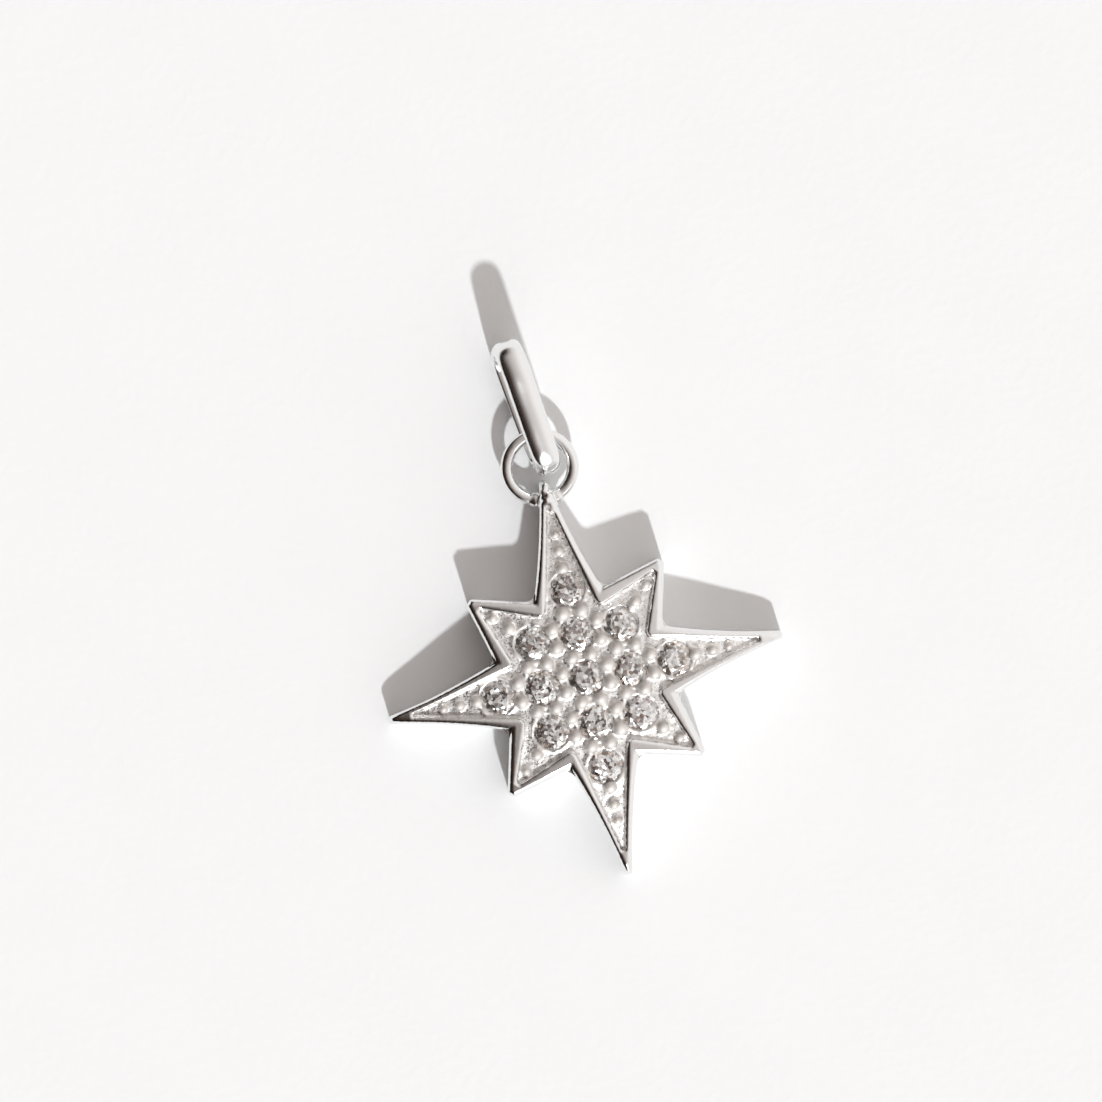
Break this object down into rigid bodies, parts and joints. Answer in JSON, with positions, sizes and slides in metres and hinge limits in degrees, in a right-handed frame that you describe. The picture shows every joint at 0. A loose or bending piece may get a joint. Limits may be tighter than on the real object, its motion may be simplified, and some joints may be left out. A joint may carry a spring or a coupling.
{
  "type": "star pendant",
  "caption": "Pave-set star pendant of long and short rays with a raised rim, lying face up, with a soldered ring and a tapered teardrop bail that a chain passes through.",
  "frame": {"origin": "centre of the star, on its flat back", "axes": "+Y towards the north ray, the ring and the bail; +X towards the east ray; +Z out of the front, where the stones face"},
  "size_m": [0.016, 0.0217, 0.0035],
  "materials": {
    "star_silver": "polished cast silver",
    "bail_silver": "polished silver",
    "clear_stone": "clear faceted stone"
  },
  "bodies": {
    "root": {"star_setting": "star_silver", "bail": "bail_silver", "stone_centre": "clear_stone", "stone_north_inner": "clear_stone", "stone_north_outer": "clear_stone", "stone_north_east": "clear_stone", "stone_east_inner": "clear_stone", "stone_east_outer": "clear_stone", "stone_south_east": "clear_stone", "stone_south_inner": "clear_stone", "stone_south_outer": "clear_stone", "stone_south_west": "clear_stone", "stone_west_inner": "clear_stone", "stone_west_outer": "clear_stone", "stone_north_west": "clear_stone"}
  },
  "joints": []
}
